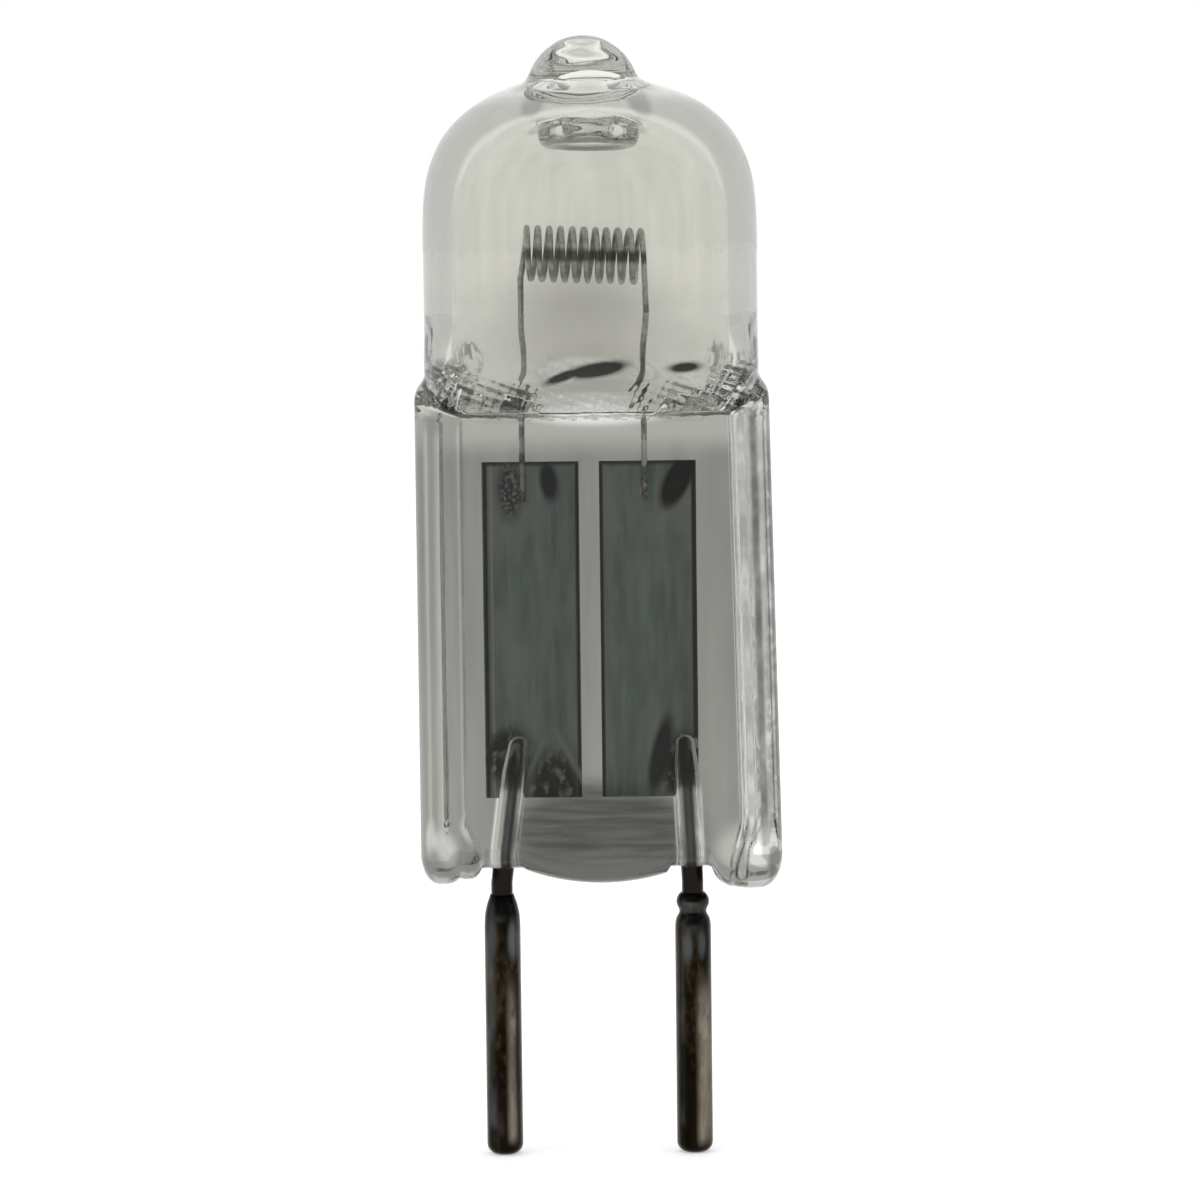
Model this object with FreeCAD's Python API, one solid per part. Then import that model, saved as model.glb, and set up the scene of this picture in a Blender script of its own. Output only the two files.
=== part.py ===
import FreeCAD, Part
import math
import os

os.makedirs("parts", exist_ok=True)

# Two-pin base, in millimetres. Height 0 is the plane of the pin tips.
pin_spacing = 6.35
pin_radius = 0.6
pin_length = 8.1           # stretch at full diameter
pin_tip_round = 0.35
collar_length = 0.65       # narrowed top of the pin sleeve, round the lead
collar_wall = 0.04
bead_radius = 0.55         # rolled bead on the right collar
bead_height = 0.4
waist_rise = 0.12          # short taper below the bead
collar_lip = 0.05          # end of the long taper on the left collar
lead_seat_height = 5.0     # closed end of the pin's bore
lead_radius = 0.4
neck_length = 0.95         # bare lead between the collar and the glass
lead_bend_radius = 4.0
lead_bend_drop = 0.55      # the bend's corner, below where the glass starts
lead_weld_length = 2.05    # lead laid on the foil
left_lead_lean = 0.62      # how far each lead leans inwards at its top
right_lead_lean = 0.24

# Sealing foils
foil_width = 3.2
foil_thickness = 0.04
foil_gap = 0.67
foil_shift = -0.125        # middle of the pair, beside the lamp's axis
foil_above_glass_end = 2.3
foil_below_cavity = 2.04

# Filament, one wire
wire_radius = 0.1
light_centre_height = 30.0
cavity_below_centre = 4.8
coil_radius = 0.76         # to the middle of the wire
coil_pitch = 0.36
coil_turns = 10.5
coil_shift = -0.095
coil_slope = 2.4           # degrees, lower on the right
coil_sides = 4             # flats round the wire in the coil
leg_weld_length = 1.3      # leg laid on the foil
left_leg_outset = 0.35     # leg beside the end of the coil
left_elbow_drop = 1.0
right_leg_outset = 0.06
right_elbow_outset = 0.14
right_elbow_forward = 0.6
right_elbow_drop = 1.9
right_bend_rise = 0.6      # last bend, above the bottom of the cavity

# Pinch seal
left_overhang = 0.3        # seal wider than the bulb
right_overhang_top = 0.28
right_overhang_bottom = 0.64
press_depth = 3.0
rim_depth = 4.2
rim_width = 0.96
rim_outer_round = 0.6
rim_inner_round = 0.26
rim_rise = 1.1             # rims above the bottom of the cavity
press_top_round = 1.1
press_foot_round = 0.3
panel_overlap = 1.2        # where the two halves of the panel meet
shoulder_drop = 0.7        # outer shoulder below the bottom of the cavity

# Foot of the seal
belly_radius = 7.3
belly_drop = 0.53
belly_shift = 0.2
belly_round = 0.7
lead_margin = 0.35         # foot lobes stay this far from the leads
left_foot_drop = 0.46
left_foot_width = 1.45
left_foot_round = 0.66
left_lobe_drop = 0.33
left_lobe_width = 0.8
left_lobe_depth = 3.2
left_lobe_round = 0.3
right_foot_drop = 0.7
right_foot_gap = 0.18      # beside the lead
right_foot_round = 0.84
foot_height = 2.4

# Bulb
tube_radius = 5.5
tube_wall = 1.0
shoulder_height = 3.2      # from the cavity's bottom to the round tube
straight_height = 1.53     # round tube below the dome
dome_height = 5.99
crown_wall = 1.65
dome_turns = [0, 7, 65, 90]  # degrees turned at the ends of the dome's three arcs
corner_share = 0.61        # radius of the middle arc, as a share of the bulb's
slot_depth = 0.5           # narrow bottom of the cavity, front to back
cavity_corner_round = 0.8
tip_radius = 1.93          # sealed exhaust tip
tip_stand = 1.28           # above the crown
tip_fillet = 0.5
tip_wall = 0.85            # glass above what is left of the exhaust tube's bore
bore_radius = 1.2
bore_taper = 1.35
lip_hang = 0.67            # the tube's end below the ceiling of the cavity
lip_wall = 0.56
lip_bevel = 0.2

# Heights and places that follow from the sizes above
glass_end = pin_length + collar_length + neck_length
cavity_bottom = light_centre_height - cavity_below_centre
shoulder_top = cavity_bottom + shoulder_height
dome_base = shoulder_top + straight_height
press_left = tube_radius + left_overhang
press_right_top = tube_radius + right_overhang_top
press_right_bottom = tube_radius + right_overhang_bottom
foil_bottom = glass_end + foil_above_glass_end
foil_top = cavity_bottom - foil_below_cavity
foil_depth = lead_radius + foil_thickness / 2
leg_depth = foil_depth - foil_thickness / 2 - wire_radius
cavity_radius = tube_radius - tube_wall
up = FreeCAD.Vector(0, 0, 1)
rim_top = cavity_bottom + rim_rise
crown_top = dome_base + dome_height
tip_top = crown_top + tip_stand
ring_count = 9             # sections in each shoulder loft


def spot(x, y, z):
    return FreeCAD.Vector(x, y, z)


def block(x_low, x_high, depth, z_low, z_high):
    size = (x_high - x_low, depth, z_high - z_low)
    return Part.makeBox(*size, spot(x_low, -depth / 2, z_low))


def turned(edges):
    """Solid of revolution about the lamp's axis from edges in the XZ plane."""
    return Part.Face(Part.Wire(edges)).revolve(spot(0, 0, 0), up, 360)


def line(start, end):
    return Part.LineSegment(start, end).toShape()


def arc(start, middle, end):
    return Part.Arc(start, middle, end).toShape()


# Contact pins: sleeves fixed on the ends of the leads

def pin_sleeve(side, beaded):
    collar_radius = lead_radius + collar_wall
    collar_top = pin_length + collar_length
    if beaded:
        ring_bottom = collar_top - bead_height
        shoulder = [
            spot(collar_radius, 0, pin_length + waist_rise),
            spot(collar_radius, 0, ring_bottom),
            spot(bead_radius, 0, ring_bottom + bead_height / 2),
        ]
    else:
        shoulder = [spot(collar_radius, 0, collar_top - collar_lip)]
    flat = pin_radius - pin_tip_round
    quarter = pin_tip_round * (1 - math.sqrt(0.5))
    corners = [spot(pin_radius, 0, pin_tip_round), spot(pin_radius, 0, pin_length)] + shoulder
    corners += [spot(collar_radius, 0, collar_top), spot(0, 0, collar_top), spot(0, 0, 0), spot(flat, 0, 0)]
    tip = arc(corners[-1], spot(pin_radius - quarter, 0, quarter), corners[0])
    sleeve = turned([line(start, end) for start, end in zip(corners, corners[1:])] + [tip])
    bore = Part.makeCylinder(lead_radius, collar_top, spot(0, 0, lead_seat_height), up)
    sleeve = sleeve.cut(bore)
    sleeve.translate(spot(side * pin_spacing / 2, 0, 0))
    return sleeve


# Leads: upright in the pins, then leaning in to the foils

def lead_wire(side, lean):
    foot = spot(side * pin_spacing / 2, 0, lead_seat_height)
    corner = spot(foot.x, 0, glass_end - lead_bend_drop)
    top = spot(corner.x - side * lean, 0, foil_bottom + lead_weld_length)
    slant = (top - corner).normalize()
    half_turn = slant.getAngle(up) / 2
    reach = lead_bend_radius * math.tan(half_turn)
    start = corner - up * reach
    end = corner + slant * reach
    to_centre = (slant - up).normalize()
    middle = corner + to_centre * (lead_bend_radius / math.cos(half_turn) - lead_bend_radius)
    path = Part.Wire([line(foot, start), arc(start, middle, end), line(end, top)])
    section = Part.Wire(Part.Circle(foot, up, lead_radius).toShape())
    return path.makePipeShell([section], True, False)


# Foils, flat strips behind the leads

def foil(side):
    middle = foil_shift + side * (foil_gap + foil_width) / 2
    corner = spot(middle - foil_width / 2, foil_depth - foil_thickness / 2, foil_bottom)
    return Part.makeBox(foil_width, foil_thickness, foil_top - foil_bottom, corner)


# Filament: a coil whose two ends run down as legs to the foils

def wire_run(points):
    """Straight lengths of wire through the points, rounded where it bends."""
    lengths = [
        Part.makeCylinder(wire_radius, (end - start).Length, start, end - start)
        for start, end in zip(points, points[1:])
    ]
    bends = [Part.makeSphere(wire_radius, point) for point in points[1:-1]]
    return lengths[0].fuse(lengths[1:] + bends)


def coil_and_legs():
    length = coil_pitch * coil_turns
    helix = Part.makeHelix(coil_pitch, length, coil_radius)
    corners = []
    for i in range(coil_sides + 1):
        angle = 2 * math.pi * i / coil_sides
        corners.append(spot(coil_radius + wire_radius * math.cos(angle), 0, wire_radius * math.sin(angle)))
    section = Part.makePolygon(corners)
    coil = Part.Wire(helix).makePipeShell([section], True, True)
    coil.rotate(spot(0, 0, 0), up, 90)
    coil.rotate(spot(0, 0, 0), spot(0, 1, 0), 90)
    coil.translate(spot(-length / 2, 0, 0))
    coil.rotate(spot(0, 0, 0), spot(0, 1, 0), coil_slope)
    coil.translate(spot(coil_shift, 0, light_centre_height))

    slope = math.radians(coil_slope)
    reach = spot(length / 2 * math.cos(slope), 0, -length / 2 * math.sin(slope))
    centre = spot(coil_shift, 0, light_centre_height)
    left_end = centre - reach + spot(0, coil_radius, 0)
    right_end = centre + reach - spot(0, coil_radius, 0)
    weld_end = foil_top - leg_weld_length
    left_x = left_end.x - left_leg_outset
    right_x = right_end.x + right_leg_outset
    left_elbow = spot(left_x, leg_depth, left_end.z - left_elbow_drop)
    right_elbow = spot(right_end.x + right_elbow_outset, -right_elbow_forward, right_end.z - right_elbow_drop)
    inside_left = left_end + (left_end - left_elbow).normalize() * wire_radius
    inside_right = right_end + (right_end - right_elbow).normalize() * wire_radius
    right_bend = spot(right_x, leg_depth, cavity_bottom + right_bend_rise)
    legs = [
        wire_run([inside_left, left_elbow, spot(left_x, leg_depth, weld_end)]),
        wire_run([inside_right, right_elbow, right_bend, spot(right_x, leg_depth, weld_end)]),
    ]
    return coil, legs


# Quartz envelope: bulb, exhaust tip and pinch seal, one blown piece

def dome_curve(radius, height, up_to):
    """Three tangent arcs from the round tube (radius, dome_base) in to the radius up_to."""
    turns = [math.radians(turn) for turn in dome_turns]
    ins = [math.cos(start) - math.cos(end) for start, end in zip(turns, turns[1:])]
    ups = [math.sin(end) - math.sin(start) for start, end in zip(turns, turns[1:])]
    corner_radius = radius * corner_share
    left_in = radius - corner_radius * ins[1]
    left_up = height - corner_radius * ups[1]
    area = ins[0] * ups[2] - ins[2] * ups[0]
    side_radius = (left_in * ups[2] - left_up * ins[2]) / area
    top_radius = (left_up * ins[0] - left_in * ups[0]) / area
    place = spot(radius, 0, dome_base)
    edges = []
    for start, end, bend in zip(turns, turns[1:], [side_radius, corner_radius, top_radius]):
        centre = place - spot(bend * math.cos(start), 0, bend * math.sin(start))
        if end == turns[-1]:
            end = math.acos((up_to - centre.x) / bend)
        middle = (start + end) / 2
        through = centre + spot(bend * math.cos(middle), 0, bend * math.sin(middle))
        last = centre + spot(bend * math.cos(end), 0, bend * math.sin(end))
        edges.append(arc(place, through, last))
        place = last
    return edges, place


def shoulder(radius, bottom, bottom_half_depth, corner_round):
    """Loft from the round tube down to the flat of the seal, its low corners rounded."""
    rings = []
    for i in range(ring_count - 1):
        share = 1 - math.cos(math.pi / 2 * i / (ring_count - 1))
        rise = (shoulder_top - bottom) * share
        half_depth = bottom_half_depth + (radius - bottom_half_depth) * math.sin(math.pi / 2 * share)
        below_round = max(corner_round - rise, 0)
        half_width = radius - corner_round + math.sqrt(corner_round ** 2 - below_round ** 2)
        rings.append(Part.Ellipse(spot(0, 0, bottom + rise), half_width, half_depth))
    rings.append(Part.Circle(spot(0, 0, shoulder_top), up, radius))
    return Part.makeLoft([Part.Wire(ring.toShape()) for ring in rings], True, True)


def bulb_outside():
    crown, crown_end = dome_curve(tube_radius, dome_height, tip_fillet)
    outline = [
        line(spot(0, 0, shoulder_top), spot(tube_radius, 0, shoulder_top)),
        line(spot(tube_radius, 0, shoulder_top), spot(tube_radius, 0, dome_base)),
        *crown,
        line(crown_end, spot(0, 0, crown_end.z)),
        line(spot(0, 0, crown_end.z), spot(0, 0, shoulder_top)),
    ]
    bulb = turned(outline)
    tip = Part.makeSphere(tip_radius, spot(0, 0, tip_top - tip_radius))
    bulb = bulb.fuse(tip)
    seam = [
        edge for edge in bulb.Edges
        if edge.BoundBox.ZMin > dome_base + dome_height / 2
        and edge.BoundBox.ZLength < 0.01
        and edge.BoundBox.XLength > tip_radius
    ]
    return bulb.makeFillet(tip_fillet, seam)


def bulb_inside():
    lip_outer = bore_radius + lip_wall
    ceiling, ceiling_end = dome_curve(cavity_radius, dome_height - crown_wall, lip_outer)
    lip_end = crown_top - crown_wall - lip_hang
    bore_top = tip_top - tip_wall
    corners = [
        ceiling_end, spot(lip_outer, 0, lip_end + lip_bevel), spot(lip_outer - lip_bevel, 0, lip_end),
        spot(bore_radius + lip_bevel, 0, lip_end), spot(bore_radius, 0, lip_end + lip_bevel),
        spot(bore_radius, 0, bore_top - bore_taper), spot(0, 0, bore_top), spot(0, 0, shoulder_top),
        spot(cavity_radius, 0, shoulder_top), spot(cavity_radius, 0, dome_base),
    ]
    sides = [line(start, end) for start, end in zip(corners, corners[1:])]
    round_part = turned(ceiling + sides)
    return round_part.fuse(shoulder(cavity_radius, cavity_bottom, slot_depth / 2, cavity_corner_round))


def rounded_outline(corners, radii):
    """Closed wire through the corners, each rounded by its own radius, 0 for a sharp one."""
    edges, ends = [], []
    for i, corner in enumerate(corners):
        back = (corners[i - 1] - corner).normalize()
        on = (corners[(i + 1) % len(corners)] - corner).normalize()
        half_angle = back.getAngle(on) / 2
        reach = radii[i] / math.tan(half_angle)
        inwards = (back + on).normalize()
        middle = corner + inwards * (radii[i] / math.sin(half_angle) - radii[i])
        ends.append((corner + back * reach, corner + on * reach))
        edges.append([arc(ends[-1][0], middle, ends[-1][1])] if radii[i] else [])
    joined = []
    for i, edge in enumerate(edges):
        joined += edge + [line(ends[i][1], ends[(i + 1) % len(ends)][0])]
    return Part.Wire(joined)


def press_half(side, outer, panel_width):
    """One rim of the seal with its share of the panel, drawn where the glass ends."""
    inner = outer - side * rim_width
    rim = rim_depth / 2
    panel = press_depth / 2
    corners = [(outer, -rim), (inner, -rim), (inner, -panel), (inner - side * panel_width, -panel)]
    corners += [(x, -y) for x, y in reversed(corners)]
    radii = [rim_outer_round, rim_inner_round, rim_inner_round, 0]
    section = rounded_outline([spot(x, y, glass_end - 1) for x, y in corners], radii + radii[::-1])
    return Part.Face(section).extrude(up * (rim_top - glass_end + 2))


def press():
    lean = math.degrees(math.atan2(press_right_bottom - press_right_top, rim_top - glass_end))
    right = press_half(1, press_right_bottom, panel_overlap)
    right.rotate(spot(press_right_bottom, 0, glass_end), spot(0, -1, 0), lean)
    left = press_half(-1, -press_left, press_left + press_right_top - 2 * rim_width - panel_overlap / 2)
    corners = [
        spot(-press_left, -rim_depth, glass_end), spot(press_right_bottom, -rim_depth, glass_end),
        spot(press_right_top, -rim_depth, rim_top), spot(-press_left, -rim_depth, rim_top),
    ]
    outline = rounded_outline(corners, [press_foot_round, press_foot_round, press_top_round, press_top_round])
    return left.fuse(right).common(Part.Face(outline).extrude(spot(0, 2 * rim_depth, 0)))


def pillow(x_low, x_high, depth, drop, rounding):
    """Lobe of glass below the seal, rounded all over."""
    bottom = glass_end - drop
    lobe = block(x_low, x_high, depth, bottom, bottom + foot_height)
    return lobe.makeFillet(rounding, lobe.Edges)


def roll(x_low, x_high, depth, drop, rounding):
    """Smaller lobe, rounded only as the front view shows it."""
    bottom = glass_end - drop
    lobe = block(x_low, x_high, depth, bottom, bottom + foot_height)
    low_edges = [edge for edge in lobe.Edges if edge.BoundBox.YLength > rounding and edge.BoundBox.ZMax < glass_end]
    return lobe.makeFillet(rounding, low_edges)


def foot():
    half_space = pin_spacing / 2
    left_edge = lead_radius + lead_margin - half_space
    right_edge = half_space - lead_radius - lead_margin
    disc_centre = spot(belly_shift, -press_depth / 2, glass_end - belly_drop + belly_radius)
    disc = Part.makeCylinder(belly_radius, press_depth, disc_centre, spot(0, 1, 0))
    rims = [edge for edge in disc.Edges if edge.BoundBox.XLength > belly_radius]
    disc = disc.makeFillet(belly_round, rims)
    belly = disc.common(block(left_edge, right_edge, press_depth, glass_end - belly_drop, glass_end + foot_height))
    left_end = left_foot_width - press_left
    left = pillow(-press_left, left_end, rim_depth, left_foot_drop, left_foot_round)
    lobe_start = left_end - left_lobe_round
    lobe = roll(lobe_start, lobe_start + left_lobe_width, left_lobe_depth, left_lobe_drop, left_lobe_round)
    right_start = half_space + lead_radius + right_foot_gap
    right = pillow(right_start, press_right_bottom, rim_depth, right_foot_drop, right_foot_round)
    return [belly, left, lobe, right]


def quartz_envelope(embedded):
    outside = bulb_outside().fuse([shoulder(tube_radius, cavity_bottom - shoulder_drop, press_depth / 2, 0), press()] + foot())
    glass = outside.removeSplitter().cut(bulb_inside())
    for piece in embedded:
        glass = glass.cut(piece)
    return glass


left_foil, right_foil = foil(-1), foil(1)
left_lead, right_lead = lead_wire(-1, left_lead_lean), lead_wire(1, right_lead_lean)
coil, legs = coil_and_legs()
pieces = {
    "quartz_envelope": quartz_envelope([left_foil, right_foil, left_lead, right_lead] + legs),
    "filament": coil.fuse(legs),
    "foil_left": left_foil,
    "foil_right": right_foil,
    "lead_wire_left": left_lead,
    "lead_wire_right": right_lead,
    "contact_pin_left": pin_sleeve(-1, False),
    "contact_pin_right": pin_sleeve(1, True),
}

for name, shape in pieces.items():
    shape.exportStep("parts/" + name + ".step")
    box = shape.BoundBox
    print(name, len(shape.Solids), "solid", round(shape.Volume, 3), "mm3, valid", shape.isValid())
    print("   x", round(box.XMin, 2), round(box.XMax, 2), "y", round(box.YMin, 2), round(box.YMax, 2),
          "z", round(box.ZMin, 2), round(box.ZMax, 2))
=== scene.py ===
import bpy
import bmesh
import math
from mathutils import Matrix, Vector


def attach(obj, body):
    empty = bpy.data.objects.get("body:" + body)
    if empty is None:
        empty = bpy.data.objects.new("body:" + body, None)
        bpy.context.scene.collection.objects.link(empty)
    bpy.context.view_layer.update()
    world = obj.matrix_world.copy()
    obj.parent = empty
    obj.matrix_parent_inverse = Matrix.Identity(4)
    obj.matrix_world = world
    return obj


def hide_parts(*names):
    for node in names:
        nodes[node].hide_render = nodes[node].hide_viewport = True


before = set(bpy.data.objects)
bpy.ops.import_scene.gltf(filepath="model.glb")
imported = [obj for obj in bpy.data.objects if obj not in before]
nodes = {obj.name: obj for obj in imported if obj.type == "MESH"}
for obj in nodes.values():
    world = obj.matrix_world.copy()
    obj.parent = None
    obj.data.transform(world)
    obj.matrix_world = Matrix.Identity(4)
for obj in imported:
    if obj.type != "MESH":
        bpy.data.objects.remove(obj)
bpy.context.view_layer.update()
mm = 0.001

# Sizes in millimetres, those of the solids; a few differ slightly, to follow the photo's outline
quartz = {
    "tubeRadius": 5.5, "roundFrom": 28.4, "domeBase": 29.93, "domeHeight": 5.88,
    "upPower": 3.5, "outPower": 2.03,
    "tipRadius": 1.86, "tipTop": 37.12, "tipLean": -0.18, "leanFrom": 34.9, "leanTo": 35.9,
    "shoulderBottom": 24.8, "shoulderBow": 1.7, "shoulderBlend": 0.4,
    "square": 1.9, "squareFrom": 24.8, "squareTo": 28.2,
    "panel": 1.5, "rim": 2.1, "rimWidth": 0.96, "rimRound": 0.6,
    "stepLeft": 0.8, "stepRight": 0.36, "rimTopRound": 1.1,
    "left": 5.8, "rightTop": 5.78, "rightBottom": 6.14,
    "glassEnd": 9.7, "rimTop": 26.3, "rimFade": (0.35, 25.4, 26.9),
}
# lobes: left end, right end, drop below the end of the glass, rounding
# rims: how much wider at the foot, and the heights between which that ends
foot = {
    "rimLeft": (0.49, 9.9, 11.3), "rimRight": (0.4, 9.6, 11.5),
    "lobes": ((-5.8, -4.35, 0.46, 0.62), (-4.62, -3.85, 0.33, 0.3), (3.76, 6.14, 0.7, 0.84)),
    "bellyMiddle": 0.2, "bellyHalf": 2.43, "bellyDrop": 0.53, "bellyRadius": 7.3,
}
cavity = {
    "radius": 4.5, "bottom": 25.4, "slot": 0.25, "cornerRound": 0.8, "dip": 0.4,
    "widthUneven": 0.18, "floorUneven": 0.11,
    "ceiling": 34.8, "lipEnd": 33.7, "lipOuter": 1.7, "boreRadius": 0.9,
    "boreShoulder": 34.9, "boreTop": 35.7,
}
coil = {
    "radius": 0.84, "wire": 0.1, "pitch": 0.375, "turns": 10.5,
    "centre": (-0.235, 0.0, 29.95), "slope": 2.4,
    "leftLeg": [(-2.202, 0.84, 30.03), (-2.32, 0.3, 29.2), (-2.32, 0.3, 21.86)],
    "rightLeg": [(1.732, -0.84, 29.87), (1.8, -0.6, 28.0), (1.72, 0.3, 25.8), (1.7, 0.3, 21.86)],
}
leads = {
    "radius": 0.4, "gap": 0.03, "x": 3.175, "cornerZ": 9.15, "topZ": 14.05,
    "leftLean": 0.62, "rightLean": 0.24, "bottom": 8.2, "voidBottom": 9.78,
}
pins = {
    "radius": 0.6, "tipRound": 0.35,
    "flared": [(0.6, 4.0), (0.6, 7.7), (0.58, 8.1), (0.5, 8.45), (0.42, 8.66), (0.4, 8.75)],
    "beaded": [
        (0.6, 4.0), (0.6, 7.65), (0.58, 7.84), (0.52, 7.98), (0.44, 8.06), (0.42, 8.13), (0.45, 8.2),
        (0.535, 8.3), (0.565, 8.43), (0.54, 8.57), (0.47, 8.68), (0.4, 8.75),
    ],
}


def clamp(value, low=0.0, high=1.0):
    return max(low, min(high, value))


def smooth(low, high, value):
    share = clamp((value - low) / (high - low))
    return share * share * (3 - 2 * share)


def softMax(a, b, blend):
    share = clamp(0.5 + 0.5 * (a - b) / blend)
    return b + (a - b) * share + blend * share * (1 - share) * 0.5


def newObject(name, bm, materials):
    mesh = bpy.data.meshes.new(name)
    bm.to_mesh(mesh)
    bm.free()
    for polygon in mesh.polygons:
        polygon.use_smooth = True
    for material in materials:
        mesh.materials.append(material)
    obj = bpy.data.objects.new(name, mesh)
    bpy.context.scene.collection.objects.link(obj)
    return obj


# Grid of columns by rows whose vertices are moved to place(column share, row share), then closed
def mappedSheet(columns, rows, place):
    bm = bmesh.new()
    bmesh.ops.create_grid(bm, x_segments=columns, y_segments=rows, size=0.5)
    for vert in bm.verts:
        vert.co = place(vert.co.x + 0.5, vert.co.y + 0.5) * mm
    bmesh.ops.remove_doubles(bm, verts=bm.verts, dist=2e-7)
    bmesh.ops.recalc_face_normals(bm, faces=bm.faces)
    return bm


def addSheet(target, bm, inwards=False):
    if inwards:
        bmesh.ops.reverse_faces(bm, faces=bm.faces)
    mesh = bpy.data.meshes.new("part")
    bm.to_mesh(mesh)
    bm.free()
    target.from_mesh(mesh)
    bpy.data.meshes.remove(mesh)


# Materials

def newMaterial(name):
    material = bpy.data.materials.new(name)
    material.use_nodes = True
    return material, material.node_tree, material.node_tree.nodes["Principled BSDF"]


def node(tree, kind, **inputs):
    made = tree.nodes.new(kind)
    for key, value in inputs.items():
        made.inputs[key.replace("_", " ")].default_value = value
    return made


# Object coordinates in millimetres, times scale per axis
def objectPoint(tree, scale):
    coordinates = tree.nodes.new("ShaderNodeTexCoord")
    mapping = tree.nodes.new("ShaderNodeMapping")
    mapping.inputs["Scale"].default_value = [1000 * part for part in scale]
    tree.links.new(coordinates.outputs["Object"], mapping.inputs["Vector"])
    return mapping.outputs["Vector"]


def ramp(tree, value, stops):
    made = tree.nodes.new("ShaderNodeValToRGB")
    elements = made.color_ramp.elements
    while len(elements) < len(stops):
        elements.new(0.5)
    for element, (position, colour) in zip(elements, stops):
        element.position = position
        element.color = (*colour, 1)
    tree.links.new(value, made.inputs["Fac"])
    return made.outputs["Color"]


def noise(tree, scale, size, detail=4.0, rough=0.55):
    made = node(tree, "ShaderNodeTexNoise", Scale=size, Detail=detail, Roughness=rough)
    tree.links.new(objectPoint(tree, scale), made.inputs["Vector"])
    return made.outputs["Fac"]


def mathNode(tree, kind, a, b=None, c=None):
    made = tree.nodes.new("ShaderNodeMath")
    made.operation = kind
    for socket, value in zip(made.inputs, (a, b, c)):
        if value is None:
            continue
        if isinstance(value, (int, float)):
            socket.default_value = value
        else:
            tree.links.new(value, socket)
    return made.outputs["Value"]


def times(tree, a, b):
    return mathNode(tree, "MULTIPLY", a, b)


def most(tree, a, b):
    return mathNode(tree, "MAXIMUM", a, b)


# 0 at low and 1 at high, smooth between; low may be the larger
def span(tree, value, low, high):
    made = tree.nodes.new("ShaderNodeMapRange")
    made.interpolation_type = "SMOOTHSTEP"
    made.inputs["From Min"].default_value = low
    made.inputs["From Max"].default_value = high
    tree.links.new(value, made.inputs["Value"])
    return made.outputs["Result"]


def mix(tree, share, a, b, kind="MIX"):
    made = tree.nodes.new("ShaderNodeMix")
    made.data_type = "RGBA"
    made.blend_type = kind
    for socket, value in ((made.inputs["Factor"], share), (made.inputs["A"], a), (made.inputs["B"], b)):
        if isinstance(value, (int, float)):
            socket.default_value = value
        elif isinstance(value, tuple):
            socket.default_value = (*value, 1)
        else:
            tree.links.new(value, socket)
    return made.outputs["Result"]


# x, y and z of the surface point in millimetres
def axes(tree):
    parts = tree.nodes.new("ShaderNodeSeparateXYZ")
    tree.links.new(objectPoint(tree, (1, 1, 1)), parts.inputs["Vector"])
    return parts.outputs["X"], parts.outputs["Y"], parts.outputs["Z"]


# Distance of the surface point from the upright middle axis in millimetres
def axisDistance(tree):
    length = tree.nodes.new("ShaderNodeVectorMath")
    length.operation = "LENGTH"
    tree.links.new(objectPoint(tree, (1, 1, 0)), length.inputs[0])
    return length.outputs["Value"]


# 1 inside an ellipse in the front view and 0 outside; its middle is (x, z) and its tilt in degrees
def blob(tree, centre, size, tilt=0.0, soft=0.5):
    coordinates = tree.nodes.new("ShaderNodeTexCoord")
    mapping = tree.nodes.new("ShaderNodeMapping")
    mapping.vector_type = "TEXTURE"
    mapping.inputs["Location"].default_value = (centre[0] * mm, 0, centre[1] * mm)
    mapping.inputs["Rotation"].default_value = (0, -math.radians(tilt), 0)
    mapping.inputs["Scale"].default_value = (size[0] * mm, 1000, size[1] * mm)
    length = tree.nodes.new("ShaderNodeVectorMath")
    length.operation = "LENGTH"
    tree.links.new(coordinates.outputs["Object"], mapping.inputs["Vector"])
    tree.links.new(mapping.outputs["Vector"], length.inputs[0])
    return span(tree, length.outputs["Value"], 1 + soft / 2, 1 - soft / 2)


# 1 in an upright strip round x = across + slope * z between two heights
def stripe(tree, x, z, across, slope, half, low, high, soft=0.08):
    middle = mathNode(tree, "MULTIPLY_ADD", z, slope, across)
    off = mathNode(tree, "ABSOLUTE", mathNode(tree, "SUBTRACT", x, middle))
    beside = span(tree, mathNode(tree, "SUBTRACT", half + soft, off), 0.0, 2 * soft)
    above = span(tree, z, low - 2 * soft, low + 2 * soft)
    below = span(tree, mathNode(tree, "SUBTRACT", high, z), -2 * soft, 2 * soft)
    return times(tree, beside, times(tree, above, below))


# The colour with each (mask, colour) coat laid over it in turn
def layers(tree, colour, *coats):
    for mask, over in coats:
        colour = mix(tree, mask, colour, over)
    return colour


def bump(tree, shader, height, strength, distance):
    made = node(tree, "ShaderNodeBump", Strength=strength, Distance=distance * mm)
    tree.links.new(height, made.inputs["Height"])
    tree.links.new(made.outputs["Normal"], shader.inputs["Normal"])


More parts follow.
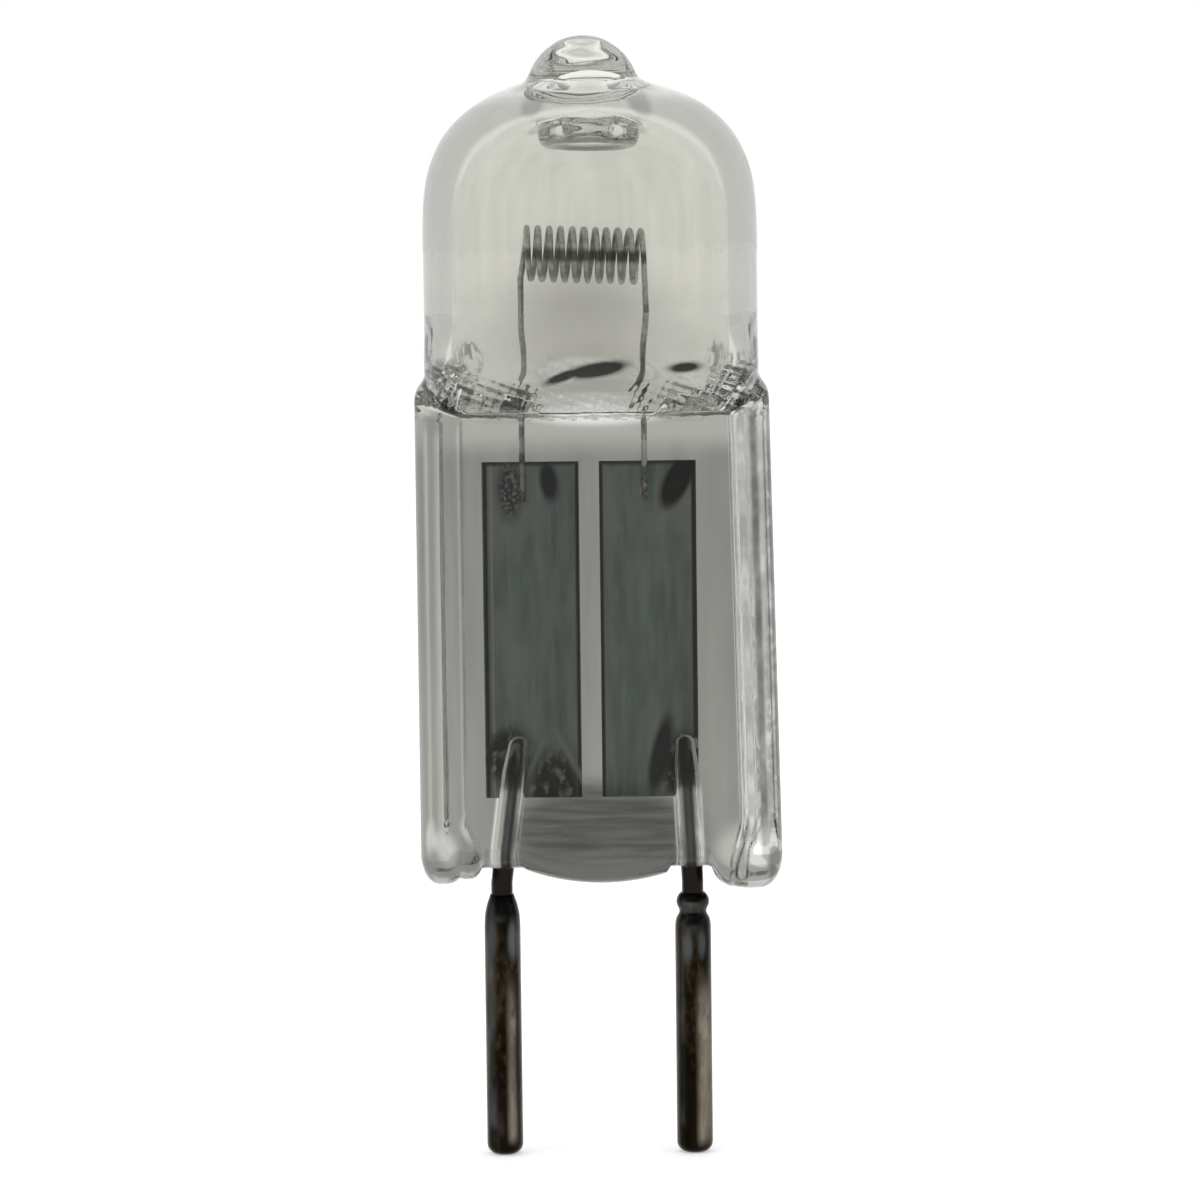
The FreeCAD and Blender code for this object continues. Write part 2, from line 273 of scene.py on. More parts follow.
def quartzMaterial():
    material, tree, shader = newMaterial("quartz")
    shader.inputs["Transmission Weight"].default_value = 1.0
    shader.inputs["IOR"].default_value = 1.458
    shader.inputs["Specular Tint"].default_value = (0.4, 0.4, 0.4, 1)
    shader.inputs["Roughness"].default_value = 0.02
    x, y, z = axes(tree)
    side = mathNode(tree, "ABSOLUTE", x)
    streak = noise(tree, (1, 1, 0.08), 1.6, detail=2.0)
    mottle = noise(tree, (1, 1, 0.6), 1.6, detail=2.0)
    seal = ramp(tree, streak, [(0.3, (0.20, 0.20, 0.186)), (0.7, (0.265, 0.265, 0.247))])
    seal = mix(tree, span(tree, z, 23.2, 24.2), seal, (0.4, 0.4, 0.375))
    # painted reflection: dark mottling for the right rim; painted light: a lighter streak for the left
    # rim
    rimRight = ramp(tree, mottle, [
        (0.35, (0.12, 0.12, 0.11)), (0.55, (0.22, 0.22, 0.205)), (0.7, (0.38, 0.38, 0.355)),
    ])
    rimLeft = ramp(tree, streak, [(0.3, (0.24, 0.24, 0.222)), (0.7, (0.33, 0.33, 0.31))])
    level = noise(tree, (0.2, 1, 2.5), 2.0, detail=2.0)
    belly = ramp(tree, level, [(0.35, (0.05, 0.052, 0.047)), (0.7, (0.12, 0.122, 0.112))])
    belly = mix(tree, span(tree, z, 10.3, 9.7), belly, (0.14, 0.14, 0.13))
    clear, white = (0.85, 0.85, 0.82), (1.0, 1.0, 1.0)
    seal = layers(
        tree, seal,
        (blob(tree, (0.2, 10.9), (3.1, 1.6), soft=0.5), belly),
        # painted highlight under the band at the top of the seal
        (blob(tree, (0.1, 24.85), (2.0, 0.45), soft=0.9), (0.8, 0.8, 0.77)),
        # painted light on the two rims: lighter on the left, painted dark reflections mottling the
        # right, lighter again at the right foot
        (span(tree, x, -4.75, -5.2), rimLeft),
        (span(tree, x, 4.85, 5.3), rimRight),
        (blob(tree, (5.2, 10.2), (1.2, 0.9)), (0.4, 0.4, 0.375)),
        # clear glass in front of the leads
        (stripe(tree, x, z, -4.38, 0.127, 0.42, 9.5, 12.4, soft=0.1), clear),
        (stripe(tree, x, z, 3.62, -0.049, 0.42, 9.5, 12.4, soft=0.1), clear),
        # painted highlights: bright lines and spots along the rims and the foot
        (stripe(tree, x, z, -5.02, 0.0, 0.1, 10.4, 24.2, soft=0.14), (0.62, 0.62, 0.59)),
        (stripe(tree, x, z, 5.37, -0.0218, 0.27, 10.0, 25.4), white),
        (blob(tree, (4.78, 25.0), (0.22, 0.42)), white),
        (blob(tree, (5.3, 10.05), (0.3, 0.16), tilt=-20), white),
        (blob(tree, (-4.95, 10.6), (0.28, 0.5), tilt=15, soft=1.4), (0.9, 0.9, 0.88)),
    )
    bulb = ramp(tree, streak, [(0.3, (0.75, 0.75, 0.71)), (0.7, (0.82, 0.82, 0.78))])
    bulb = mix(tree, span(tree, z, 29.5, 26.4), bulb, (0.68, 0.68, 0.645))
    # painted shade: a darker oval in the tube between the legs
    bulb = mix(tree, blob(tree, (-0.25, 27.4), (2.4, 2.3), soft=1.7), bulb, (0.58, 0.58, 0.55))
    # painted shade: the outside of the tube and dome darkens towards its outline
    facing = tree.nodes.new("ShaderNodeLayerWeight")
    facing.inputs["Blend"].default_value = 0.5
    outlineShade = ramp(tree, facing.outputs["Facing"], [
        (0.26, (1, 1, 1)), (0.40, (0.82, 0.82, 0.81)), (0.44, (0.46, 0.46, 0.45)),
        (0.75, (0.34, 0.34, 0.33)), (0.95, (0.14, 0.14, 0.13)),
    ])
    fromAxis = axisDistance(tree)
    above = most(tree, mathNode(tree, "SUBTRACT", z, 33.6), 0.0)
    outer = mathNode(tree, "MULTIPLY_ADD", above, 1.5, fromAxis)
    outer = times(tree, span(tree, outer, 4.55, 4.65), span(tree, z, 35.7, 34.7))
    outer = times(tree, outer, most(tree, span(tree, z, 27.5, 28.7), span(tree, side, 4.2, 4.5)))
    bulb = mix(tree, outer, bulb, mix(tree, 1.0, bulb, outlineShade, "MULTIPLY"))
    bulb = mix(tree, span(tree, z, 35.0, 36.0), bulb, (0.98, 0.98, 0.95))
    speck = span(tree, noise(tree, (1, 1, 1), 2.2, detail=2.0), 0.42, 0.56)
    # painted shade: dark mottling in the corners at the tops of the rims
    cornerShade = most(tree, blob(tree, (-4.95, 25.75), (0.5, 0.85), tilt=38),
                   blob(tree, (5.2, 25.7), (0.55, 0.85), tilt=-30))
    # the bore inside the tip is painted clear white as a painted highlight, and the lip at its end gets
    # painted shade
    bore = times(tree, span(tree, fromAxis, 2.1, 1.9), span(tree, z, 33.5, 33.6))
    bore = times(tree, bore, span(tree, z, 35.3, 35.1))
    lip = times(tree, bore, span(tree, z, 34.05, 33.8))
    # painted reflection: black smears on the front of the shoulder
    darkReflection = most(tree, blob(tree, (0.2, 26.32), (1.1, 0.27), tilt=9, soft=0.6),
                blob(tree, (-0.85, 26.12), (0.75, 0.17), tilt=20, soft=0.7))
    darkReflection = most(tree, darkReflection, blob(tree, (3.0, 26.36), (0.6, 0.19), tilt=4, soft=0.8))
    darkReflection = times(tree, darkReflection, span(tree, y, -3.3, -3.5))
    # painted shade: dark mottling along the outer edge of the right rim
    rimEdgeShade = times(tree, span(tree, x, 5.5, 5.75), span(tree, z, 24.5, 23.0))
    colour = layers(
        tree, mix(tree, span(tree, z, 24.6, 25.1), seal, bulb),
        # painted shade, mottled, in the corners and along the right rim's edge
        (times(tree, cornerShade, speck), (0.12, 0.12, 0.11)),
        (times(tree, rimEdgeShade, speck), (0.1, 0.1, 0.09)),
        # painted dark reflection on the shoulder
        (darkReflection, (0.0012, 0.001, 0.0007)),
        # painted highlight on the ledge at the cavity's floor
        (blob(tree, (-0.1, 25.15), (1.8, 0.42), soft=0.5), white),
        # painted highlight in the bore, then painted shade on the lip
        (bore, white),
        (lip, (0.09, 0.09, 0.085)),
        # shade on both sides of the tip
        (blob(tree, (-2.0, 35.45), (0.5, 0.16), tilt=22, soft=0.8), (0.36, 0.36, 0.34)),
        (blob(tree, (1.8, 35.45), (0.5, 0.16), tilt=-22, soft=0.8), (0.36, 0.36, 0.34)),
    )
    tree.links.new(colour, shader.inputs["Base Color"])
    waves = noise(tree, (1, 1, 0.25), 0.9, detail=1.0)
    ripples = mathNode(tree, "SINE", mathNode(tree, "MULTIPLY_ADD", z, 15.0, times(tree, x, 1.7)))
    ripples = times(tree, ripples, span(tree, z, 34.6, 35.8))
    pebbles = mathNode(tree, "SINE", mathNode(tree, "MULTIPLY_ADD", x, 13.0, times(tree, z, 6.0)))
    across = mathNode(tree, "SINE", mathNode(tree, "MULTIPLY_ADD", z, 15.0, times(tree, x, -5.0)))
    pebbles = times(tree, pebbles, across)
    # only in the band under the tube
    rough = span(tree, mathNode(tree, "MULTIPLY_ADD", side, -0.2, z), 25.6, 25.3)
    rough = times(tree, rough, span(tree, z, 24.5, 24.7))
    pebbles = times(tree, pebbles, times(tree, rough, 0.9))
    height = mathNode(tree, "ADD", mathNode(tree, "MULTIPLY_ADD", ripples, 0.07, waves), pebbles)
    bump(tree, shader, height, 0.12, 0.1)
    volume = node(tree, "ShaderNodeVolumeAbsorption", Color=(0.62, 0.625, 0.59, 1), Density=60.0)
    tree.links.new(volume.outputs["Volume"], tree.nodes["Material Output"].inputs["Volume"])
    return material


def tungstenMaterial():
    material, tree, shader = newMaterial("tungsten")
    shader.inputs["Metallic"].default_value = 0.9
    shader.inputs["Roughness"].default_value = 0.38
    x, _, z = axes(tree)
    grain = noise(tree, (1, 1, 1), 6.0)
    wire = ramp(tree, grain, [(0.35, (0.36, 0.36, 0.35)), (0.7, (0.62, 0.615, 0.59))])
    spots = span(tree, noise(tree, (1, 1, 1), 2.5), 0.45, 0.55)
    spots = times(tree, spots, span(tree, z, 25.4, 24.8))
    wire = mix(tree, spots, wire, (0.95, 0.95, 0.93))
    # painted reflection: a dark band round the middle of the coil
    coilDarkReflection = stripe(tree, z, x, 29.92, -0.042, 0.2, -2.2, 2.2, soft=0.12)
    colour = mix(tree, coilDarkReflection, wire, (0.09, 0.086, 0.078))
    tree.links.new(colour, shader.inputs["Base Color"])
    bump(tree, shader, grain, 0.3, 0.01)
    return material


def foilMaterial():
    material, tree, shader = newMaterial("foil")
    shader.inputs["Metallic"].default_value = 0.35
    shader.inputs["Roughness"].default_value = 0.5
    x, _, z = axes(tree)
    grain = noise(tree, (1, 1, 0.12), 4.0)
    shade = noise(tree, (1, 1, 0.5), 0.8)
    colour = ramp(tree, grain, [(0.3, (0.27, 0.33, 0.31)), (0.7, (0.46, 0.55, 0.52))])
    colour = mix(tree, span(tree, shade, 0.35, 0.7), colour, (0.49, 0.53, 0.5))
    speckle = span(tree, noise(tree, (1, 1, 1), 9.0, detail=2.0), 0.45, 0.65)
    patchy = span(tree, noise(tree, (1, 1, 0.6), 3.0), 0.36, 0.5)
    weld = times(tree, blob(tree, (-2.75, 22.2), (0.35, 0.85), soft=0.9), speckle)
    dark, black = (0.05, 0.055, 0.05), (0.012, 0.01, 0.008)
    pale, faint = (0.7, 0.72, 0.68), (0.5, 0.51, 0.48)
    colour = layers(
        tree, colour,
        # edges
        (stripe(tree, x, z, -3.56, 0.0, 0.07, 12.0, 23.2, soft=0.05), dark),
        (stripe(tree, x, z, -3.36, 0.0, 0.03, 12.0, 23.2, soft=0.03), pale),
        (stripe(tree, x, z, -0.53, 0.0, 0.06, 12.0, 23.2, soft=0.04), dark),
        (stripe(tree, x, z, 3.33, 0.0, 0.08, 12.0, 23.2, soft=0.04), dark),
        (stripe(tree, x, z, 0.27, 0.0, 0.06, 12.0, 23.2, soft=0.04), dark),
        (span(tree, z, 22.95, 23.12), (0.08, 0.085, 0.08)),
        # welds of the legs
        (blob(tree, (-1.45, 22.5), (0.3, 0.65), tilt=8, soft=0.8), (0.04, 0.045, 0.045)),
        (blob(tree, (-2.75, 22.2), (0.4, 0.95), soft=0.9), (0.09, 0.1, 0.1)),
        (weld, faint),
        (blob(tree, (2.8, 22.5), (0.42, 1.0), tilt=-26, soft=0.5), black),
        # welds of the leads
        (times(tree, blob(tree, (-1.35, 12.2), (0.8, 1.3), soft=0.7), patchy), (0.04, 0.034, 0.028)),
        (times(tree, blob(tree, (-2.9, 13.4), (0.75, 0.9), soft=0.7), patchy), (0.045, 0.045, 0.042)),
        (blob(tree, (2.15, 13.4), (0.3, 1.3), tilt=-12, soft=0.7), (0.04, 0.04, 0.037)),
        (times(tree, blob(tree, (2.9, 12.9), (0.7, 1.1), soft=0.8), patchy), (0.035, 0.033, 0.03)),
        (stripe(tree, x, z, -8.65, 0.5, 0.08, 12.0, 14.0, soft=0.1), faint),
        (stripe(tree, x, z, 6.35, -0.54, 0.1, 12.0, 14.3, soft=0.1), faint),
        # painted highlights: bright spots
        (blob(tree, (1.68, 22.15), (0.13, 0.2)), (0.9, 0.9, 0.88)),
        (blob(tree, (3.3, 13.75), (0.15, 0.18)), (0.9, 0.9, 0.88)),
    )
    tree.links.new(colour, shader.inputs["Base Color"])
    bump(tree, shader, grain, 0.4, 0.03)
    return material


def leadMaterial(side):
    material, tree, shader = newMaterial("lead")
    shader.inputs["Metallic"].default_value = 1.0
    shader.inputs["Roughness"].default_value = 0.22
    x, _, z = axes(tree)
    grain = noise(tree, (1, 1, 0.2), 3.0)
    metal = ramp(tree, grain, [(0.3, (0.55, 0.55, 0.52)), (0.7, (0.85, 0.85, 0.82))])
    lean = leads["leftLean"] if side < 0 else leads["rightLean"]
    slope = -side * lean / (leads["topZ"] - leads["cornerZ"])
    middle = side * leads["x"] - slope * leads["cornerZ"]
    # painted reflection: a dark strip down the middle of the lead
    darkCoreReflection = stripe(tree, x, z, middle + 0.02, slope, 0.17, 8.0, 13.0, soft=0.07)
    top = times(tree, span(tree, z, 12.5, 12.9), span(tree, grain, 0.4, 0.5))
    colour = layers(
        tree, metal,
        (darkCoreReflection, (0.05, 0.055, 0.055)),
        (top, (0.05, 0.05, 0.045)),
        # painted highlights, then the burnt end below the glass
        (blob(tree, (-2.83, 13.6), (0.12, 0.4), tilt=-34), (1.0, 1.0, 1.0)),
        (blob(tree, (3.2, 13.75), (0.14, 0.2)), (1.0, 1.0, 1.0)),
        (blob(tree, (-3.34, 10.25), (0.14, 0.14)), (1.0, 1.0, 1.0)),
        (span(tree, z, 9.9, 9.6), (0.014, 0.012, 0.01)),
    )
    tree.links.new(colour, shader.inputs["Base Color"])
    bump(tree, shader, grain, 0.3, 0.03)
    return material


def pinMaterial():
    material, tree, shader = newMaterial("pin")
    shader.inputs["Metallic"].default_value = 1.0
    shader.inputs["Roughness"].default_value = 0.3
    x, _, z = axes(tree)
    blotch = noise(tree, (1, 1, 0.3), 1.3, detail=6.0)
    colour = ramp(tree, blotch, [
        (0.35, (0.005, 0.004, 0.002)), (0.58, (0.011, 0.008, 0.005)), (0.75, (0.045, 0.038, 0.03)),
    ])
    brown = ramp(tree, blotch, [(0.4, (0.12, 0.1, 0.077)), (0.62, (0.27, 0.24, 0.19))])
    grey = ramp(tree, blotch, [(0.4, (0.012, 0.012, 0.011)), (0.65, (0.06, 0.062, 0.058))])
    specks = span(tree, noise(tree, (1, 1, 0.5), 3.5, detail=3.0), 0.42, 0.8)
    rusty = (0.05, 0.034, 0.02)
    below = span(tree, z, 6.4, 4.2)
    colour = layers(
        tree, colour,
        # painted sheen: brown and grey bands down the sides of the pins
        (times(tree, stripe(tree, x, z, -2.9, 0.0, 0.12, 0.5, 6.6, soft=0.12), below), brown),
        (times(tree, stripe(tree, x, z, 3.5, 0.0, 0.2, 0.4, 6.6, soft=0.13), below), brown),
        (stripe(tree, x, z, -3.58, 0.0, 0.14, 1.0, 7.4, soft=0.12), grey),
        (stripe(tree, x, z, 2.78, 0.0, 0.08, 1.0, 7.4, soft=0.1), grey),
        (times(tree, specks, blob(tree, (-3.2, 5.2), (0.7, 2.6), soft=1.2)), rusty),
        (times(tree, specks, blob(tree, (3.2, 5.8), (0.7, 2.6), soft=1.2)), rusty),
        # collar and bead, and the shine under them
        (blob(tree, (-3.2, 8.3), (0.4, 0.35), soft=1.0), grey),
        (blob(tree, (-2.82, 7.25), (0.16, 0.6), soft=1.2), (0.085, 0.09, 0.088)),
        (blob(tree, (-3.5, 7.45), (0.15, 0.6), soft=1.2), (0.05, 0.053, 0.052)),
        (blob(tree, (2.98, 7.0), (0.15, 0.5), soft=1.2), (0.07, 0.075, 0.073)),
        (blob(tree, (3.45, 7.1), (0.12, 0.45), soft=1.2), (0.055, 0.06, 0.058)),
        (blob(tree, (3.2, 8.1), (0.5, 0.6), soft=1.2), grey),
    )
    tree.links.new(colour, shader.inputs["Base Color"])
    bump(tree, shader, noise(tree, (1, 1, 0.5), 3.0), 0.4, 0.05)
    return material


# Quartz envelope: outside sheet, cavity and the channels round the leads

# Point at the share of the way round a dome's outline, from its foot to its crown
def superellipse(radius, height, share):
    angle = math.pi / 2 * share
    rise = math.sin(angle) ** (2 / quartz["upPower"])
    out = radius * (1 - rise ** quartz["upPower"]) ** (1 / quartz["outPower"])
    return out, quartz["domeBase"] + height * rise


# count + 1 points evenly spaced along the line through the points
def evenly(points, count):
    lengths = [0.0]
    for start, end in zip(points, points[1:]):
        lengths.append(lengths[-1] + math.dist(start, end))
    made, k = [], 0
    for i in range(count + 1):
        want = lengths[-1] * i / count
        while k < len(points) - 2 and lengths[k + 1] < want:
            k += 1
        share = clamp((want - lengths[k]) / max(lengths[k + 1] - lengths[k], 1e-9))
        made.append(tuple(a + (b - a) * share for a, b in zip(points[k], points[k + 1])))
    return made


def relaxed(points, passes, ends=2):
    for _ in range(passes):
        points = [
            point if i < ends or i >= len(points) - ends
            else tuple((a + 2 * b + c) / 4 for a, b, c in zip(points[i - 1], point, points[i + 1]))
            for i, point in enumerate(points)
        ]
    return points


# Radius and height from the round tube up over the dome and the sealed tip to the axis
def crownLine():
    tip = quartz["tipRadius"]
    tipCentre = quartz["tipTop"] - tip
    dome = [superellipse(quartz["tubeRadius"], quartz["domeHeight"], i / 300) for i in range(301)]
    dome = [point for point in dome if math.hypot(point[0], point[1] - tipCentre) > tip]
    start = math.asin(clamp((dome[-1][1] - tipCentre) / tip, -1, 1))
    turns = [start + (math.pi / 2 - start) * i / 60 for i in range(61)]
    dome += [(tip * math.cos(turn), tipCentre + tip * math.sin(turn)) for turn in turns]
    points = relaxed(evenly(dome, 240), 50, ends=20)
    points[-1] = (0.0, points[-1][1])
    return points


crownRows = 110
crown = evenly(crownLine(), crownRows)


# Half width of the seal at height z; the right side leans outwards towards the foot
def sealEdge(along, z):
    if along <= 0:
        return quartz["left"]
    bottom, top = quartz["rightBottom"], quartz["rightTop"]
    share = clamp((z - quartz["glassEnd"]) / (quartz["rimTop"] - quartz["glassEnd"]))
    return bottom + (top - bottom) * share


# Bottom of a rounded lobe of the foot at x
def lobeLine(x, low, high, drop, rounding):
    beyond = max(low + rounding - x, x - high + rounding, 0)
    if beyond >= rounding:
        return quartz["glassEnd"] + 0.1
    return quartz["glassEnd"] - drop + rounding - math.sqrt(rounding ** 2 - beyond ** 2)


# Height of the bottom edge of the seal at x
def footLine(x):
    lowest = quartz["glassEnd"]
    if abs(x) < foot["bellyHalf"]:
        radius = foot["bellyRadius"]
        arc = math.sqrt(max(radius ** 2 - (x - foot["bellyMiddle"]) ** 2, 1))
        lowest = min(lowest, quartz["glassEnd"] - foot["bellyDrop"] + radius - arc)
    for lobe in foot["lobes"]:
        lowest = min(lowest, lobeLine(x, *lobe))
    return lowest


def squareness(z):
    return 2 + quartz["square"] * (1 - smooth(quartz["squareFrom"], quartz["squareTo"], z))


# Rise of the shoulder's profile, from 0 at the seal to 1 at the round tube
def bow(share):
    power = quartz["shoulderBow"]
    return (1 - (1 - share) ** power) ** (1 / power)


# Distance along a ray from (origin, 0) to a superellipse
def rayToOval(origin, out, back, half, depth, power):
    low, high = 0.0, half + depth
    for _ in range(26):
        far = (low + high) / 2
        if ((origin + far * out) / half) ** power + (far * back / depth) ** power > 1:
            high = far
        else:
            low = far
    return low


# How far the glass reaches at height z along a ray from (start, 0) in the direction turn
def reach(z, start, turn, edge):
    out, back = abs(math.cos(turn)), abs(math.sin(turn))
    origin = abs(start)
    half = quartz["tubeRadius"]
    share = clamp((z - quartz["shoulderBottom"]) / (quartz["roundFrom"] - quartz["shoulderBottom"]))
    depth = quartz["panel"] + (half - quartz["panel"]) * bow(share)
    bulb = 0
    if z > quartz["shoulderBottom"] - 0.2:
        bulb = rayToOval(origin, out, back, half, depth, squareness(z))
    if z > quartz["rimTop"] + 0.9:
        return bulb
    # the seal's section: panel and rims
    topRound = quartz["rimTopRound"]
    top = max(z - quartz["rimTop"] + topRound, 0)
    if top:
        edge -= topRound - math.sqrt(max(topRound ** 2 - min(top, topRound) ** 2, 0))
    onRight = start > 0 or (start == 0 and math.cos(turn) > 0)
    wider, low, high = foot["rimRight"] if onRight else foot["rimLeft"]
    inner = max(edge - quartz["rimWidth"] - wider * (1 - smooth(low, high, z)), 0)
    loss, low, high = quartz["rimFade"]
    rim = quartz["rim"] * (1 - loss * smooth(low, high, z))
    step = quartz["stepRight"] if start > 0 else quartz["stepLeft"]
    flat = quartz["panel"] + (rim - quartz["panel"]) * smooth(inner - step, inner + step * 0.6, origin)
    if out < 1e-6:
        return softMax(flat, bulb, quartz["shoulderBlend"]) if bulb else flat
    rounding = quartz["rimRound"]
    side = (edge - origin) / out
    if side * back > rim - rounding:
        side = rim / max(back, 1e-6)
        if origin + side * out > edge - rounding:
            cx, cy = edge - rounding - origin, rim - rounding
            along = cx * out + cy * back
            side = along + math.sqrt(max(rounding ** 2 - (cx ** 2 + cy ** 2 - along ** 2), 0))
    side = max(side, 0)
    return softMax(side, bulb, quartz["shoulderBlend"]) if bulb else side


# Columns on each face and each narrow end of a ring, and the share of a face where its rays start
faceCount, endCount = 84, 28
ringCount = 2 * (faceCount + endCount)
faceShare = 0.909
faceTurn = math.asin(faceShare)
neckRows, sealRows, footRows = 56, 34, 26
footTop, sealTop = 11.9, 23.9
sheetRows = crownRows + neckRows + sealRows + footRows


# Share along the seal's middle line (-1 to 1) and direction of the column's ray
def ray(column):
    place = column * ringCount
    if place <= faceCount:
        return math.sin(faceTurn * (2 * place / faceCount - 1)) / faceShare, -math.pi / 2
    place -= faceCount
    if place <= endCount:
        return 1.0, -math.pi / 2 + math.pi * place / endCount
    place -= endCount
    if place <= faceCount:
        return -math.sin(faceTurn * (2 * place / faceCount - 1)) / faceShare, math.pi / 2
    place -= faceCount
    return -1.0, math.pi / 2 + math.pi * place / endCount


def outside(column, row):
    along, turn = ray(column)
    level = row * sheetRows
    if level >= neckRows + sealRows + footRows:
        radius, z = crown[min(crownRows, max(0, round(level - neckRows - sealRows - footRows)))]
        start = along * faceShare * radius
        out, back = math.cos(turn), math.sin(turn)
        b = start * out
        far = -b + math.sqrt(max(b * b + radius ** 2 - start ** 2, 0))
        lean = quartz["tipLean"] * smooth(quartz["leanFrom"], quartz["leanTo"], z)
        return Vector((start + far * out + lean, far * back, z))
    if level >= sealRows + footRows:
        share = (level - sealRows - footRows) / neckRows
        z = sealTop + (quartz["domeBase"] - sealTop) * share
    elif level >= footRows:
        z = footTop + (sealTop - footTop) * (level - footRows) / sealRows
    else:
        z = footTop
    edge = sealEdge(along, z)
    start = along * (min(edge - 0.8, 5.0) if z > 26 else edge - 0.8)
    if level >= footRows:
        far = reach(z, start, turn, edge)
        return Vector((start + far * math.cos(turn), far * math.sin(turn), z))
    # the foot: down the side, then in under the glass
    share = 1 - level / footRows
    downPart, bend = 0.55, 0.6
    down = clamp(share / downPart)
    under = clamp((share - downPart) / (1 - downPart))
    far = reach(z, start, turn, edge)
    for _ in range(2):
        x = start + far * math.cos(turn)
        lowest = footLine(x)
        z = footTop + (lowest + bend - footTop) * down - bend * math.sin(under * math.pi / 2)
        far = reach(z, start, turn, sealEdge(along, z)) * math.cos(under * math.pi / 2) ** 0.55
    return Vector((start + far * math.cos(turn), far * math.sin(turn), z))


# Half width, half depth and height of each ring of the cavity, from its slot to the top of the bore
def cavityLine():
    rings = []
    rise = quartz["roundFrom"] - cavity["bottom"]
    rounding = cavity["cornerRound"]
    slotHalf = cavity["radius"] - rounding
    for i in range(5):
        rings.append((slotHalf * i / 5, cavity["slot"] * i / 5, cavity["bottom"]))
    for i in range(61):
        up = rise * (1 - math.cos(math.pi / 2 * i / 60))
        below = max(rounding - up, 0)
        half = slotHalf + math.sqrt(rounding ** 2 - below ** 2)
        depth = cavity["slot"] + (cavity["radius"] - cavity["slot"]) * bow(up / rise)
        rings.append((half, depth, cavity["bottom"] + up))
    height = cavity["ceiling"] - quartz["domeBase"]
    side = [(cavity["radius"], quartz["roundFrom"])]
    side += [superellipse(cavity["radius"], height, i / 200) for i in range(201)]
    side = [point for point in side if point[0] > cavity["lipOuter"]]
    middle = (cavity["lipOuter"] + cavity["boreRadius"]) / 2
    bend = (cavity["lipOuter"] - cavity["boreRadius"]) / 2
    turns = [math.pi * i / 16 for i in range(17)]
    lipCentre = cavity["lipEnd"] + bend
    lip = [(middle + bend * math.cos(turn), lipCentre - bend * math.sin(turn)) for turn in turns]
    height = cavity["boreTop"] - cavity["boreShoulder"]
    turns = [math.pi / 2 * i / 12 for i in range(13)]
    bore = [
        (cavity["boreRadius"] * math.cos(turn), cavity["boreShoulder"] + height * math.sin(turn))
        for turn in turns
    ]
    line = relaxed(evenly(side + lip, 150), 3) + relaxed(evenly([lip[-1]] + bore, 50), 12)[1:]
    return rings + [(radius, radius, z) for radius, z in line[1:]]


cavityRings = cavityLine()


def inside(column, row):
    half, depth, z = cavityRings[min(round(row * (len(cavityRings) - 1)), len(cavityRings) - 1)]
    turn = 2 * math.pi * column
    across, back = math.cos(turn), math.sin(turn)
    power = 2 / squareness(z)
    x = half * math.copysign(abs(across) ** power, across)
    y = depth * math.copysign(abs(back) ** power, back)
    low = 1 - smooth(cavity["bottom"], cavity["bottom"] + 1.2, z)
    uneven = 0.6 * math.sin(2.1 * x + 0.6) + 0.4 * math.sin(5.3 * x + 2.0)
    dip = cavity["dip"] * (1 - smooth(1.75, 2.35, abs(x - 0.15)))
    y *= 1 + cavity["widthUneven"] * uneven * low
    return Vector((x, y, z + (cavity["floorUneven"] * uneven - dip) * low))


# Place of the lead's middle line at height z
def leadPath(side, z):
    lean = leads["leftLean"] if side < 0 else leads["rightLean"]
    share = max(z - leads["cornerZ"], 0) / (leads["topZ"] - leads["cornerZ"])
    return side * (leads["x"] - lean * share)


# Radius of the lead: bare wire below the glass, full in it, pressed thinner at the weld
def leadThickness(z):
    return leads["radius"] * (0.9 + 0.1 * smooth(9.5, 9.9, z)) * (1 - 0.25 * smooth(12.8, 14.0, z))


# Sheet round the lead between two heights, closed by round ends, for the lead itself or its void
def roundRod(side, bottom, top, gap):
    def place(column, row):
        z = bottom + (top - bottom) * row
        radius = leadThickness(z) + gap
        near = min(z - bottom, top - z) / radius
        if near < 1:
            radius *= math.sqrt(max(1 - (1 - near) ** 2, 0))
        turn = 2 * math.pi * column
        return Vector((leadPath(side, z) + radius * math.cos(turn), radius * math.sin(turn), z))
    return place


quartzGlass = quartzMaterial()
whole = bmesh.new()
addSheet(whole, mappedSheet(ringCount, sheetRows, outside))
addSheet(whole, mappedSheet(128, len(cavityRings) - 1, inside), inwards=True)
for side in (-1, 1):
    channel = roundRod(side, leads["voidBottom"], leads["topZ"] + 0.08, leads["gap"])
    addSheet(whole, mappedSheet(32, 90, channel), inwards=True)
envelope = newObject("quartzEnvelope", whole, [quartzGlass])
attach(envelope, "root")
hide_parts("quartz_envelope")
print("envelope", len(envelope.data.polygons), "faces")


# Filament

# Round wire through the points, with a ball at each bend
def tubeAlong(bm, points, radius, sides=12):
    for start, end in zip(points, points[1:]):
        start, end = Vector(start) * mm, Vector(end) * mm
        turn = (end - start).to_track_quat("Z", "Y").to_matrix().to_4x4()
        matrix = Matrix.Translation((start + end) / 2) @ turn
        bmesh.ops.create_cone(bm, cap_ends=True, segments=sides, radius1=radius * mm,
                              radius2=radius * mm, depth=(end - start).length, matrix=matrix)
    for point in points[1:-1]:
        ball = Matrix.Translation(Vector(point) * mm)
        bmesh.ops.create_uvsphere(bm, u_segments=sides, v_segments=8, radius=radius * mm, matrix=ball)


